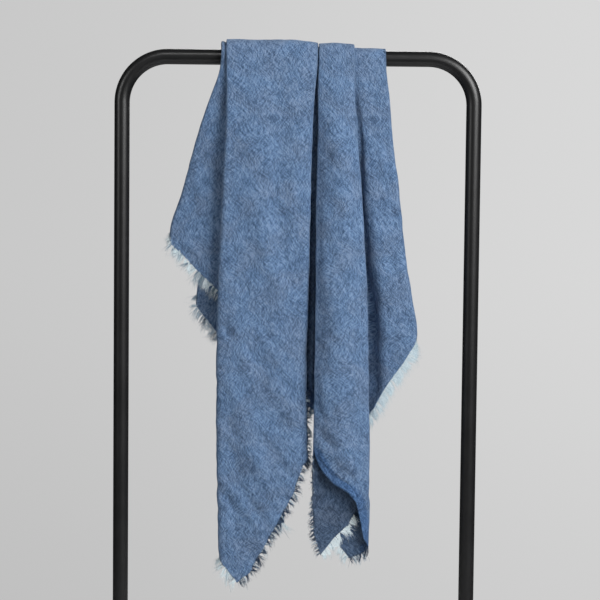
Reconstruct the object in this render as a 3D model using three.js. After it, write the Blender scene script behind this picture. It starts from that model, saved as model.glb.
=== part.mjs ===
// A square foulard with frayed edges, gathered into folds and hung over the rail of a clothes rack.
// Millimetres, +Z up, +X to the right, -Y to the front. The rack stands on z = 0, centred on the origin.
//
// The cloth hangs in five stretches, each a wall that goes up the front, over the rail and down the back:
//   inner_layer  the innermost layer, which only shows from below and at the ends
//   left_flap    the wide layer that swings out to the left
//   right_flap   the layer that swings out to the right
//   left_fold    the broad double fold on the left, the outermost of all
//   middle_fold  the rolled fold beside it, whose front is cut short and shows the layers inside
// A stretch is a face between two edges. An edge that is a fold turns back and runs on behind the face.
import * as THREE from "three";

// ---- driving dimensions ----
const RACK = { width: 600, height: 1250, tube: 25, bendRadius: 75, tubeSides: 16, bendSteps: 8 };
const FOOT = { length: 400, width: 44, thickness: 8 };
const GAP = 0.3; // between pieces that touch
const WALL = 1.6; // the crinkled cloth's thickness
const RAIL_ARC = 35; // a quarter turn over the rail, measured along the cloth
const LEVELS = [60, 95, 145, 215, 300, 400, 500, 600]; // even rows of the cloth, above its slanting hems
const LOWER_ROW = 115; // the longest row between the last even one and the hem
const FRINGE = {
  gap: 0.5, // off the edge of the cloth
  stripDepth: 2.2,
  stripHalfThickness: 0.7,
  lockWidth: 2.4,
  spacing: 9.3,
  droop: 0.45, // how far the loose end turns towards the floor, as a share
};

const RAIL_Z = RACK.height - RACK.tube / 2;

// ---- the cloth's cross sections ----
// hang: along the cloth from the top of the rail, below zero down the front and above zero down the back.
// left, right: the two edges. outLeft, outRight: the face's distance from the rail's axis at each edge.
// crown: how far the middle of the face stands out. turnLeft, turnRight: the radius of each fold.
const section = (hang, left, right, outLeft, outRight, crown, turnLeft, turnRight) => ({
  hang, left, right, outLeft, outRight, crown, turnLeft, turnRight,
});

// The edge of the cloth. across: 0 to 1 over the face, down to -1 behind the left fold, up to 2 behind the
// right fold. drop: how far below the rail's axis it ends.
const hem = (across, drop) => ({ across, drop });

const TURN = 0.35; // the share of "across" that goes round a fold
const TURN_COLUMNS = [0.12, 0.23, 0.35];

// behindLeft, behindRight: how much of the face's width each fold runs on behind it.
// rise: the shares of the width between which the face goes from outLeft to outRight, straight at power 1 and
// quickly at first above it. crownAt: where a lopsided crown is highest, and where it has died away.
const STRETCHES = {
  left_fold: {
    behindLeft: 0.7,
    behindRight: 0.25,
    ripple: { depth: 1.6, waves: 1.6, slant: 520 },
    sections: [
      //       hang  left right outL outR crown turnL turnR
      section(-895, -121, 22, 35, 34, 2, 5, 6),
      section(-670, -127, 22, 42, 36, 4, 7, 8.5),
      section(-560, -128, 18, 46, 37, 4.5, 8, 9.5),
      section(-400, -127, 19.5, 46, 38, 4, 8, 9.5),
      section(-250, -121, 21.5, 42, 38, 3.5, 6, 8.5),
      section(-120, -116, 25, 35, 33, 2, 3.6, 4.2),
      section(-50, -116, 30, 30, 26, 0.5, 1.8, 2),
      section(0, -117, 31, 29.5, 24.5, 0, 1.5, 1.5),
      section(50, -116, 30, 29.5, 25, 0.5, 1.6, 1.6),
      section(200, -120, 27, 37, 36, 4, 3.5, 5.5),
      section(400, -125, 20, 40, 39, 6, 4, 7.5),
      section(640, -123, 17, 37, 36, 4, 4, 7),
    ],
    front: [
      hem(-1, 762), hem(-0.35, 806), hem(-0.23, 813), hem(0, 830), hem(0.18, 860), hem(0.34, 843),
      hem(0.46, 813), hem(0.57, 787), hem(0.72, 750), hem(0.88, 712), hem(1, 664), hem(1.23, 650),
      hem(1.35, 640), hem(2, 585),
    ],
    back: [
      hem(-1, 600), hem(-0.35, 556), hem(0, 545), hem(0.5, 512), hem(1, 476), hem(1.35, 466), hem(2, 445),
    ],
    columns: [-1, -0.68, 0, 0.18, 0.34, 0.46, 0.57, 0.72, 0.88, 1, 2],
  },
  middle_fold: {
    behindLeft: 0.82,
    behindRight: 0.55,
    ripple: { depth: 1.2, waves: 1.2, slant: 430 },
    step: { drop: 20, inwards: 3.5 }, // the turned edge along the short front
    sections: [
      section(-860, 27, 123, 42, 38, 3, 5, 8),
      section(-760, 27, 123, 48, 42, 5, 6, 9),
      section(-665, 28, 122, 54, 47, 7, 6.5, 10),
      section(-600, 28, 120, 56, 48, 9, 6.5, 10),
      section(-440, 29, 116, 54, 48, 10, 6.5, 10),
      section(-270, 28.5, 106, 42, 40, 8, 7.5, 9.5),
      section(-185, 29.5, 102, 34.5, 34, 6, 6.5, 8.2),
      section(-120, 30.5, 97, 29, 28.5, 3.5, 4.8, 6),
      section(-60, 33, 92, 24.5, 24.5, 1, 1.5, 2.6),
      section(-35, 33.5, 90.5, 23, 23, 0.4, 1.05, 2.1),
      section(35, 33.5, 90.5, 23, 23, 0.4, 1.05, 2.1),
      section(60, 33, 92, 24, 24, 1, 1.2, 2.4),
      section(150, 34, 97, 27, 27, 3, 2, 4),
      section(300, 36, 104, 32, 32, 5, 4, 6.6),
      section(640, 36, 111, 31, 31, 4, 4, 6.6),
    ],
    front: [
      hem(-1, 724), hem(-0.82, 764), hem(-0.64, 784), hem(-0.45, 814), hem(-0.35, 776), hem(-0.23, 716),
      hem(-0.12, 632), hem(0, 650), hem(0.16, 673), hem(0.39, 692), hem(0.68, 706), hem(0.83, 722),
      hem(0.92, 750), hem(1, 784), hem(1.12, 797), hem(1.35, 811), hem(1.45, 815), hem(1.64, 820),
      hem(1.82, 802), hem(2, 776),
    ],
    back: [
      hem(-1, 452), hem(-0.35, 492), hem(0, 502), hem(1, 560), hem(1.35, 568), hem(2, 600),
    ],
    columns: [-1, -0.82, -0.64, -0.45, 0, 0.16, 0.39, 0.68, 0.83, 0.92, 1, 1.45, 1.64, 2],
  },
  left_flap: {
    behindLeft: 0.24,
    behindRight: 0,
    rise: { from: 0.3, to: 0.8, power: 1 },
    crownAt: { top: 0.36, end: 0.68 },
    ripple: { depth: 1.2, waves: 2.2, slant: 600 },
    sections: [
      section(-640, -215, 30, 9, 12, 15, 3, 3),
      section(-325, -208, 30, 9, 12, 15, 4, 3),
      section(-255, -188, 30, 9, 12, 15, 4.5, 3),
      section(-205, -175, 30, 11, 12, 13, 4, 3),
      section(-150, -159, 31, 16, 12.5, 8, 3.4, 3),
      section(-100, -142, 32, 20, 14, 3.5, 2.6, 2),
      section(-62, -128, 33, 21.6, 16, 1, 1.8, 2),
      section(-35, -121, 33, 22.4, 18, 0, 1.4, 2),
      section(0, -127, 33, 22.8, 18, 0, 1.4, 2),
      section(35, -122, 34, 21, 18, 0, 1.4, 2),
      section(150, -134, 45, 20, 14, 0, 2.6, 2),
      section(300, -153, 50, 20, 13, 0, 3.6, 2),
      section(430, -168, 50, 20, 12.5, 0, 4, 2),
      section(640, -172, 50, 18, 12.5, 0, 4, 2),
    ],
    front: [
      hem(-1, 222), hem(-0.35, 278), hem(-0.23, 284), hem(0, 302), hem(0.07, 319), hem(0.17, 343),
      hem(0.325, 379), hem(0.62, 450), hem(0.87, 515), hem(1, 547),
    ],
    back: [
      hem(-1, 332), hem(-0.35, 388), hem(-0.23, 394), hem(0, 408), hem(0.17, 453), hem(0.84, 569),
      hem(1, 592),
    ],
    columns: [-1, 0, 0.17, 0.36, 0.44, 0.52, 0.6, 0.68, 0.84, 1],
  },
  right_flap: {
    behindLeft: 0,
    behindRight: 0.35,
    rise: { from: 0.33, to: 0.66, power: 2.4 },
    ripple: { depth: 1, waves: 1.4, slant: 480 },
    sections: [
      section(-680, 80, 180, 12, 24, 0, 3, 4),
      section(-500, 80, 195, 12, 43, 0, 3, 6),
      section(-478, 80, 198, 12, 41, 0, 3, 6),
      section(-420, 78, 188, 12, 33, 0, 3, 6.5),
      section(-355, 75, 178, 12, 28, 0, 3, 7),
      section(-290, 72, 170, 12, 25, 0, 3, 6.5),
      section(-230, 68, 163, 12, 24, 0, 3, 6),
      section(-165, 64, 154, 12, 22.5, 0, 3, 5),
      section(-100, 58, 148, 12.8, 20, 0, 2, 3),
      section(-60, 52, 143, 15, 18, 0, 2, 1.7),
      section(-35, 48, 142, 16.7, 16.7, 0, 2, 1.2),
      section(35, 46, 141, 16.7, 16.7, 0, 2, 1.2),
      section(60, 47, 142, 15.4, 16.9, 0, 2, 1.4),
      section(150, 50, 147, 12.8, 16.5, 0, 2, 2.4),
      section(300, 55, 155, 12.6, 16.5, 0, 2, 3.4),
      section(640, 62, 163, 12.6, 16.5, 0, 2, 3.6),
    ],
    front: [
      hem(0, 650), hem(0.41, 582), hem(0.51, 561), hem(0.7, 526), hem(0.89, 495), hem(1, 472),
      hem(1.23, 450), hem(1.35, 440), hem(2, 398),
    ],
    back: [hem(0, 524), hem(0.5, 474), hem(1, 432), hem(1.35, 420), hem(2, 398)],
    columns: [0, 0.2, 0.33, 0.37, 0.41, 0.46, 0.51, 0.58, 0.66, 0.7, 0.8, 0.89, 1, 2],
  },
  inner_layer: {
    behindLeft: 0,
    behindRight: 0,
    ripple: { depth: 0.5, waves: 2, slant: 700 },
    sections: [
      section(-560, -92, 92, 7.6, 7.6, 0, 2, 2),
      section(-160, -104, 93, 8, 8, 0, 2, 2),
      section(-100, -115, 94, 9.6, 9.6, 0, 2, 2),
      section(-60, -117, 96, 12.4, 12.4, 0, 2, 2),
      section(-35, -118, 96, 14, 14, 0, 2, 2),
      section(35, -118, 96, 14, 14, 0, 2, 2),
      section(60, -116, 96, 12.4, 12.4, 0, 2, 2),
      section(100, -112, 94, 9.6, 9.6, 0, 2, 2),
      section(160, -100, 93, 8, 8, 0, 2, 2),
      section(560, -84, 90, 7.6, 7.6, 0, 2, 2),
    ],
    front: [hem(0, 350), hem(1, 505)],
    back: [hem(0, 300), hem(1, 390)],
    columns: [0, 0.2, 0.4, 0.6, 0.8, 1],
  },
};

// The frayed edges. from, to: the stretch of hem, in "across". length: how far the loose yarns reach.
const frayed = (name, stretch, side, from, to, length, yarn) => ({
  name, stretch, side, from, to, length, yarn,
});
const FRINGES = [
  frayed("left_fold_tip_fringe", "left_fold", "front", -1, 0.17, 19, "pale"),
  frayed("left_fold_hem_fringe", "left_fold", "front", 0.19, 0.97, 16, "dark"),
  frayed("left_fold_inside_fringe", "left_fold", "front", 1.36, 2, 16, "dark"),
  frayed("left_fold_back_fringe", "left_fold", "back", -1, 2, 18, "pale"),
  frayed("middle_inner_dark_fringe", "middle_fold", "front", -0.14, -0.44, 15, "dark"),
  frayed("middle_inner_pale_fringe", "middle_fold", "front", -0.46, -0.9, 14, "pale"),
  frayed("middle_outer_dark_fringe", "middle_fold", "front", 1.14, 1.62, 14, "dark"),
  frayed("middle_outer_pale_fringe", "middle_fold", "front", 1.66, 2, 14, "pale"),
  frayed("middle_fold_back_fringe", "middle_fold", "back", -1, 2, 17, "dark"),
  frayed("left_flap_fringe", "left_flap", "front", -0.31, 0.46, 19, "pale"),
  frayed("left_flap_back_fringe", "left_flap", "back", -0.35, 1, 17, "dark"),
  frayed("right_flap_fringe", "right_flap", "front", 0.3, 1.35, 20, "pale"),
  frayed("right_flap_back_fringe", "right_flap", "back", 0, 1.35, 17, "dark"),
];

// ---- the cloth's surface ----

// A smooth value between the rows of a table, by a cubic through its neighbours.
function valueAt(rows, key, column, at) {
  const last = rows.length - 1;
  if (at <= rows[0][key]) return rows[0][column];
  if (at >= rows[last][key]) return rows[last][column];
  const i = rows.findIndex((row) => row[key] > at) - 1;
  const slope = (k) => {
    const a = rows[Math.max(k - 1, 0)];
    const b = rows[Math.min(k + 1, last)];
    return (b[column] - a[column]) / (b[key] - a[key]);
  };
  const [p, q] = [rows[i], rows[i + 1]];
  const width = q[key] - p[key];
  const t = (at - p[key]) / width;
  const t2 = t * t;
  const t3 = t2 * t;
  return (
    (2 * t3 - 3 * t2 + 1) * p[column] +
    (t3 - 2 * t2 + t) * width * slope(i) +
    (3 * t2 - 2 * t3) * q[column] +
    (t3 - t2) * width * slope(i + 1)
  );
}

// A hem's drop, on straight lines between its rows.
function hemDrop(rows, across) {
  const i = Math.min(Math.max(rows.findIndex((row) => row.across >= across), 1), rows.length - 1);
  const [p, q] = [rows[i - 1], rows[i]];
  return THREE.MathUtils.mapLinear(across, p.across, q.across, p.drop, q.drop);
}

// A straight climb to the top of a crown, and a smooth fall from there.
const ridge = (across, { top, end }) =>
  Math.min(across / top, 1 - THREE.MathUtils.smoothstep(across, top, end));

// The cross section at one height: how far to the right, and how far out from the rail's axis.
function sectionPoint(stretch, across, hang) {
  const row = (column) => valueAt(stretch.sections, "hang", column, hang);
  const [left, right] = [row("left"), row("right")];
  const [outLeft, outRight] = [row("outLeft"), row("outRight")];
  const faceOut = (x) => {
    const share = (x - left) / (right - left);
    if (!stretch.rise) return THREE.MathUtils.lerp(outLeft, outRight, share);
    const { from, to, power } = stretch.rise;
    const t = THREE.MathUtils.clamp((share - from) / (to - from), 0, 1);
    return THREE.MathUtils.lerp(outLeft, outRight, 1 - (1 - t) ** power);
  };
  const turnLeft = stretch.behindLeft ? row("turnLeft") : 0;
  const turnRight = stretch.behindRight ? row("turnRight") : 0;
  if (across < 0) {
    const angle = Math.PI * Math.min(-across / TURN, 1);
    const behind = Math.max(0, (-across - TURN) / (1 - TURN)) * stretch.behindLeft * (right - left);
    const x = left + turnLeft * (1 - Math.sin(angle)) + behind;
    return [x, faceOut(x) - turnLeft * (1 - Math.cos(angle))];
  }
  if (across > 1) {
    const angle = Math.PI * Math.min((across - 1) / TURN, 1);
    const behind = Math.max(0, (across - 1 - TURN) / (1 - TURN)) * stretch.behindRight * (right - left);
    const x = right - turnRight * (1 - Math.sin(angle)) - behind;
    return [x, faceOut(x) - turnRight * (1 - Math.cos(angle))];
  }
  const bell = 4 * across * (1 - across);
  const clear = Math.min(1, Math.abs(hang) / 200); // no ripples where the folds are pressed on the rail
  const wave = Math.sin(2 * Math.PI * (stretch.ripple.waves * across + hang / stretch.ripple.slant));
  const x = THREE.MathUtils.lerp(left + turnLeft, right - turnRight, across);
  const crown = row("crown") * (stretch.crownAt ? ridge(across, stretch.crownAt) : bell);
  return [x, faceOut(x) + crown + bell * clear * stretch.ripple.depth * wave];
}

// How far the turned edge of a short front lies back from the rest of the face.
function stepBack(stretch, across, hang) {
  if (!stretch.step || across <= 0 || across >= 0.95) return 0;
  const { drop, inwards } = stretch.step;
  const above = hemDrop(stretch.front, across) + hang + RAIL_ARC;
  return inwards * (1 - THREE.MathUtils.smoothstep(above, drop - 3, drop));
}

// A point of the cloth's middle surface.
function clothPoint(stretch, across, hang) {
  const [x, out] = sectionPoint(stretch, across, hang);
  const reach = hang < 0 ? out - stepBack(stretch, across, hang) : out;
  const angle = THREE.MathUtils.clamp(hang / RAIL_ARC, -1, 1) * (Math.PI / 2);
  const below = Math.max(0, Math.abs(hang) - RAIL_ARC);
  return new THREE.Vector3(x, reach * Math.sin(angle), RAIL_Z + reach * Math.cos(angle) - below);
}

// The direction that the cloth faces, away from the rail on the face.
function clothNormal(stretch, across, hang) {
  const [da, dh] = [0.004, 0.6];
  const [lowest, highest] = [stretch.behindLeft ? -1 : 0, stretch.behindRight ? 2 : 1];
  const [a, b] = [Math.max(across - da, lowest), Math.min(across + da, highest)];
  const sideways = clothPoint(stretch, b, hang).sub(clothPoint(stretch, a, hang));
  const along = clothPoint(stretch, across, hang + dh).sub(clothPoint(stretch, across, hang - dh));
  return sideways.cross(along).normalize();
}

const hemHang = (stretch, side, across) =>
  side === "front" ? -RAIL_ARC - hemDrop(stretch.front, across) : RAIL_ARC + hemDrop(stretch.back, across);

// ---- closed walls ----

function meshFrom(name, points, triangles, material) {
  const geometry = new THREE.BufferGeometry();
  geometry.setAttribute("position", new THREE.Float32BufferAttribute(points.flatMap((p) => p.toArray()), 3));
  geometry.setIndex(triangles);
  geometry.computeVertexNormals();
  const mesh = new THREE.Mesh(geometry, material);
  mesh.name = name;
  return mesh;
}

// The columns of a stretch, from behind the left fold to behind the right one.
function columnsOf(stretch) {
  const left = stretch.behindLeft ? TURN_COLUMNS.map((across) => -across) : [];
  const right = stretch.behindRight ? TURN_COLUMNS.map((across) => 1 + across) : [];
  return [...stretch.columns, ...left, ...right].sort((a, b) => a - b);
}

// How far down one side the rows of a column lie, from the rail to the hem. The upper ones are level.
function rowsDown(stretch, side, across) {
  const hems = stretch[side].map((row) => RAIL_ARC + row.drop);
  const level = LEVELS.filter((hang) => hang < Math.min(...hems) - 30);
  const last = level[level.length - 1];
  const steps = Math.ceil((Math.max(...hems) - last) / LOWER_ROW);
  const end = Math.abs(hemHang(stretch, side, across));
  const lower = Array.from({ length: steps }, (_, k) => THREE.MathUtils.lerp(last, end, (k + 1) / steps));
  if (side === "front" && stretch.step) {
    const turnedEdge = end - stretch.step.drop;
    lower.splice(-1, 0, turnedEdge - 1, turnedEdge + 4);
  }
  return [...level, ...lower];
}

// The rows of one column, from the front hem to the back hem.
function rowsOf(stretch, across) {
  const overRail = [-3, -2, -1, 0, 1, 2, 3].map((k) => (k / 3) * RAIL_ARC);
  const front = rowsDown(stretch, "front", across).map((hang) => -hang);
  return [...front.reverse(), ...overRail, ...rowsDown(stretch, "back", across)];
}

function clothWall(name, stretch, material) {
  const columns = columnsOf(stretch);
  const grid = columns.map((across) => rowsOf(stretch, across).map((hang) => [across, hang]));
  const rows = grid[0].length;
  const points = [];
  for (const side of [0.5, -0.5]) {
    for (const [across, hang] of grid.flat()) {
      const normal = clothNormal(stretch, across, hang);
      points.push(clothPoint(stretch, across, hang).addScaledVector(normal, side * WALL));
    }
  }
  const inner = columns.length * rows;
  const triangles = [];
  const quad = (a, b, c, d) => triangles.push(a, b, c, a, c, d);
  for (let i = 0; i + 1 < columns.length; i++) {
    for (let j = 0; j + 1 < rows; j++) {
      const [a, b, c, d] = [i * rows + j, (i + 1) * rows + j, (i + 1) * rows + j + 1, i * rows + j + 1];
      quad(a, b, c, d);
      quad(inner + d, inner + c, inner + b, inner + a);
    }
    const [p, q] = [i * rows, (i + 1) * rows];
    quad(q, p, inner + p, inner + q);
    quad(p + rows - 1, q + rows - 1, inner + q + rows - 1, inner + p + rows - 1);
  }
  const lastColumn = (columns.length - 1) * rows;
  for (let j = 0; j + 1 < rows; j++) {
    quad(j, j + 1, inner + j + 1, inner + j);
    quad(lastColumn + j + 1, lastColumn + j, inner + lastColumn + j, inner + lastColumn + j + 1);
  }
  return meshFrom(name, points, triangles, material);
}

// ---- the frayed edges ----

// Points at the asked distances along a stretch of hem, with the way out of the cloth and the way it faces.
function hemFrames(fringe, stretch, distances) {
  const columns = columnsOf(stretch);
  const hemPoint = (across) => clothPoint(stretch, across, hemHang(stretch, fringe.side, across));
  const onHem = (across) => {
    const i = Math.min(Math.max(columns.findIndex((column) => column >= across), 1), columns.length - 1);
    const share = (across - columns[i - 1]) / (columns[i] - columns[i - 1]);
    return hemPoint(columns[i - 1]).lerp(hemPoint(columns[i]), share);
  };
  const steps = 160;
  const acrossAt = (k) => THREE.MathUtils.lerp(fringe.from, fringe.to, k / steps);
  const line = Array.from({ length: steps + 1 }, (_, k) => onHem(acrossAt(k)));
  const length = [0];
  for (let k = 1; k <= steps; k++) length.push(length[k - 1] + line[k].distanceTo(line[k - 1]));
  return distances(length[steps]).map((distance) => {
    const k = Math.min(Math.max(length.findIndex((l) => l >= distance), 1), steps);
    const share = (distance - length[k - 1]) / (length[k] - length[k - 1]);
    const across = acrossAt(k - 1 + share);
    const spread = 3; // steps each side, so that the strip turns a corner smoothly
    const tangent = line[Math.min(k + spread, steps)].clone().sub(line[Math.max(k - spread, 0)]).normalize();
    const normal = clothNormal(stretch, across, hemHang(stretch, fringe.side, across));
    const out = new THREE.Vector3().crossVectors(tangent, normal).normalize();
    if (out.z > 0) out.negate();
    return { point: line[k - 1].clone().lerp(line[k], share), out, normal };
  });
}

// A narrow strip just off the hem, with locks of yarn fused to its lower side.
function fringeMesh(fringe, material) {
  const stretch = STRETCHES[fringe.stretch];
  const { gap, stripDepth, stripHalfThickness, lockWidth, spacing, droop } = FRINGE;
  const frames = hemFrames(fringe, stretch, (length) => {
    const locks = Math.max(2, Math.round(length / spacing));
    const pitch = length / locks;
    return Array.from({ length: locks }, (_, k) => [
      pitch * k + (pitch - lockWidth) / 2,
      pitch * k + (pitch + lockWidth) / 2,
    ]).flat();
  });
  const points = [];
  for (const { point, out, normal } of frames) {
    const top = point.clone().addScaledVector(out, gap);
    const foot = top.clone().addScaledVector(out, stripDepth);
    points.push(
      top,
      foot.clone().addScaledVector(normal, stripHalfThickness),
      foot.clone().addScaledVector(normal, -stripHalfThickness),
    );
  }
  const triangles = [];
  const quad = (a, b, c, d) => triangles.push(a, b, c, a, c, d);
  const down = new THREE.Vector3(0, 0, -1);
  for (let k = 0; k + 1 < frames.length; k++) {
    const [p, q] = [3 * k, 3 * k + 3];
    quad(p, p + 1, q + 1, q);
    quad(p + 2, p, q, q + 2);
    if (k % 2) {
      quad(p + 1, p + 2, q + 2, q + 1);
      continue;
    }
    // A lock: four corners at the root, four where it starts to droop, and a point.
    const root = [p + 1, p + 2, q + 2, q + 1];
    const middle = root.reduce((sum, i) => sum.add(points[i]), new THREE.Vector3()).divideScalar(4);
    const { out, normal } = frames[k];
    const uneven = 1 + 0.16 * Math.sin(2.4 * k) + 0.1 * Math.sin(5.1 * k + 1);
    const lean = 0.22 * Math.sin(1.7 * k + 0.5);
    const tangent = new THREE.Vector3().crossVectors(normal, out);
    const reach = fringe.length * uneven - stripDepth;
    const bend = middle.clone().addScaledVector(out, reach / 2).addScaledVector(tangent, (lean * reach) / 2);
    const end = out.clone().lerp(down, droop).addScaledVector(tangent, lean).normalize();
    const tip = bend.clone().addScaledVector(end, 0.5 * reach);
    const waist = points.length;
    for (const i of root) points.push(points[i].clone().sub(middle).multiplyScalar(0.7).add(bend));
    points.push(tip);
    for (let s = 0; s < 4; s++) {
      const next = (s + 1) % 4;
      quad(root[s], root[next], waist + next, waist + s);
      triangles.push(waist + s, waist + next, waist + 4);
    }
  }
  const end = 3 * (frames.length - 1);
  triangles.push(0, 2, 1, end, end + 1, end + 2);
  return meshFrom(fringe.name, points, orientedOut(points, triangles), material);
}

// A closed surface with its faces turned outwards.
function orientedOut(points, triangles) {
  let volume = 0;
  for (let i = 0; i < triangles.length; i += 3) {
    const [a, b, c] = [0, 1, 2].map((k) => points[triangles[i + k]]);
    volume += a.dot(new THREE.Vector3().crossVectors(b, c));
  }
  return volume < 0 ? triangles.reverse() : triangles;
}

// ---- the rack ----

// The middle line of the bent tube: up the left leg, along the rail and down the right leg.
class RackLine extends THREE.Curve {
  constructor() {
    super();
    const legX = (RACK.width - RACK.tube) / 2;
    const straightTop = RAIL_Z - RACK.bendRadius;
    const foot = FOOT.thickness + GAP;
    this.points = [new THREE.Vector3(-legX, 0, foot)];
    for (const side of [-1, 1])
      for (let k = 0; k <= RACK.bendSteps; k++) {
        const turned = (Math.PI / 2) * (side < 0 ? k / RACK.bendSteps : 1 - k / RACK.bendSteps);
        this.points.push(
          new THREE.Vector3(
            side * (legX - RACK.bendRadius + RACK.bendRadius * Math.cos(turned)),
            0,
            straightTop + RACK.bendRadius * Math.sin(turned),
          ),
        );
      }
    this.points.push(new THREE.Vector3(legX, 0, foot));
    this.steps = this.points.length - 1;
  }

  getPoint(t, target = new THREE.Vector3()) {
    const along = Math.min(t, 1) * this.steps;
    const k = Math.min(Math.floor(along), this.steps - 1);
    return target.copy(this.points[k]).lerp(this.points[k + 1], along - k);
  }

  // One step to a point, so that the straight stretches need no more.
  getUtoTmapping(u) {
    return u;
  }

  getTangent(t, target = new THREE.Vector3()) {
    const k = Math.round(t * this.steps);
    const [before, after] = [this.points[Math.max(k - 1, 0)], this.points[Math.min(k + 1, this.steps)]];
    const here = this.points[k];
    const into = here.clone().sub(before).normalize();
    const onward = after.clone().sub(here).normalize();
    return target.copy(into).add(onward).normalize();
  }
}

function rackFrame(material) {
  const circle = new THREE.Shape();
  for (let k = 0; k < RACK.tubeSides; k++) {
    const angle = (2 * Math.PI * (k + 0.5)) / RACK.tubeSides;
    const [x, y] = [(RACK.tube / 2) * Math.cos(angle), (RACK.tube / 2) * Math.sin(angle)];
    if (k) circle.lineTo(x, y);
    else circle.moveTo(x, y);
  }
  circle.closePath();
  const line = new RackLine();
  const geometry = new THREE.ExtrudeGeometry(circle, { steps: line.steps, extrudePath: line });
  const mesh = new THREE.Mesh(geometry, material);
  mesh.name = "rack_frame";
  return mesh;
}

// A flat bar with round ends, from front to back under a leg.
function foot(side, material) {
  const [half, radius] = [FOOT.length / 2, FOOT.width / 2];
  const outline = new THREE.Shape();
  outline.moveTo(radius, -half + radius);
  outline.lineTo(radius, half - radius);
  outline.absarc(0, half - radius, radius, 0, Math.PI, false);
  outline.lineTo(-radius, -half + radius);
  outline.absarc(0, -half + radius, radius, Math.PI, 2 * Math.PI, false);
  const geometry = new THREE.ExtrudeGeometry(outline, {
    depth: FOOT.thickness, bevelEnabled: false, curveSegments: 10,
  });
  const mesh = new THREE.Mesh(geometry, material);
  mesh.name = side < 0 ? "foot_left" : "foot_right";
  mesh.position.x = side * (RACK.width - RACK.tube) / 2;
  return mesh;
}

// ---- the whole part ----
const blackSteel = new THREE.MeshStandardMaterial({ color: 0x1b1b1c, roughness: 0.45, metalness: 0.3 });
const blueCloth = new THREE.MeshStandardMaterial({ color: 0x5f7a9f, roughness: 0.95, metalness: 0 });
const yarn = {
  pale: new THREE.MeshStandardMaterial({ color: 0xb9d3dc, roughness: 0.95, metalness: 0 }),
  dark: new THREE.MeshStandardMaterial({ color: 0x2c4566, roughness: 0.95, metalness: 0 }),
};

const foulardOnRack = new THREE.Group();
foulardOnRack.add(rackFrame(blackSteel), foot(-1, blackSteel), foot(1, blackSteel));
for (const [name, stretch] of Object.entries(STRETCHES)) {
  foulardOnRack.add(clothWall(name, stretch, blueCloth));
}
for (const fringe of FRINGES) {
  foulardOnRack.add(fringeMesh(fringe, yarn[fringe.yarn]));
}

export default foulardOnRack;
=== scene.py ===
"""A foulard hung in folds over the rail of a garment rack: the cloth, its frayed edges, the rack, the studio
and the camera. The tables of sections, hems and creases are in millimetres, and the meshes in metres."""

import math

import bpy
import numpy as np
from mathutils import Matrix, Vector


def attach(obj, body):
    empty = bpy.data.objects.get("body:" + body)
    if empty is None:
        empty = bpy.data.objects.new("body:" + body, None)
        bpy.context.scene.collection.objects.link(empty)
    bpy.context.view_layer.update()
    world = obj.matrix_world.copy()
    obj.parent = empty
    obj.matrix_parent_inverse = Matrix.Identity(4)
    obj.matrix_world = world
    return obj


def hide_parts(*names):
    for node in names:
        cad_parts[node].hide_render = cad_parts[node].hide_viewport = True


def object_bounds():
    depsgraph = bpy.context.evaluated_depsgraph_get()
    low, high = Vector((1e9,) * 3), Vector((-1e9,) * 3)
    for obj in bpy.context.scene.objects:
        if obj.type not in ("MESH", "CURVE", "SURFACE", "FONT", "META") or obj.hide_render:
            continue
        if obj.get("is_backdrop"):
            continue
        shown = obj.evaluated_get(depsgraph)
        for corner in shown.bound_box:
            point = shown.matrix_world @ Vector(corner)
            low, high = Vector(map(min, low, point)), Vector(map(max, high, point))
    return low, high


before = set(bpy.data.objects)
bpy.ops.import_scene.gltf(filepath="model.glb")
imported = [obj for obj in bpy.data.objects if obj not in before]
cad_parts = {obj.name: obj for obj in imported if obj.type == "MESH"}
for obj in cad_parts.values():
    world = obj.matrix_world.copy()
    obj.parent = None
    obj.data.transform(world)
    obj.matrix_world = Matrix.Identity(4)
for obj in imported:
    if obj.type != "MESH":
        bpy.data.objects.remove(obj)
CAD_BOX = [list(corner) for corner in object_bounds()]

MM = 0.001

# ---------------------------------------------------------------- sizes, as in the solids
RACK_WIDTH, RACK_HEIGHT, TUBE, BEND_RADIUS = 600, 1250, 25, 75
FOOT_LENGTH, FOOT_WIDTH, FOOT_THICKNESS, GAP = 400, 44, 8, 0.3
RAIL_Z = RACK_HEIGHT - TUBE / 2
RAIL_ARC = 35  # a quarter turn over the rail, measured along the cloth
TURN = 0.35  # the share of "across" that goes round a fold
WALL = 1.2  # the cloth's thickness

# ---------------------------------------------------------------- sizes of the scene's own
SPACING = 3.6  # between the points of the cloth's mesh
RAIL_ROWS = 23  # rows of points over the rail
MID_HANG = -300.0  # where widths across the cloth are measured
BACKLIT_HEM_WIDTH = 14  # width of the band along a turned hem where light shining through the cloth is painted
CREASE_GAIN = 1.5  # on the heights in CREASES
NOISE_CELLS = 128
LINE_POINTS = 900  # on a hem or an edge that yarns stand on
YARN_SIDES = 3
YARN_TAPER = (1.0, 1.0, 0.95, 0.85, 0.7, 0.4)  # a yarn's radius from its root to its tip, as shares
TUBE_SIDES = 40
FOOT_EASE = 1.2  # radius of the feet's eased edges
FLOOR_RADIUS, FLOOR_SIDES = 1.25, 96  # in metres

# ---------------------------------------------------------------- the cloth's stretches
# Sections down the cloth, and the hems as (across, drop below the rail). "Across" is 0 at the left edge of
# a stretch's face, 1 at its right edge, and below 0 or above 1 on its returns. These are the solids' own
# tables, apart from the left flap's sections at hangs of -35 and 0.
SECTION_COLUMNS = ("hang", "left", "right", "outLeft", "outRight", "crown", "turnLeft", "turnRight")

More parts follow.
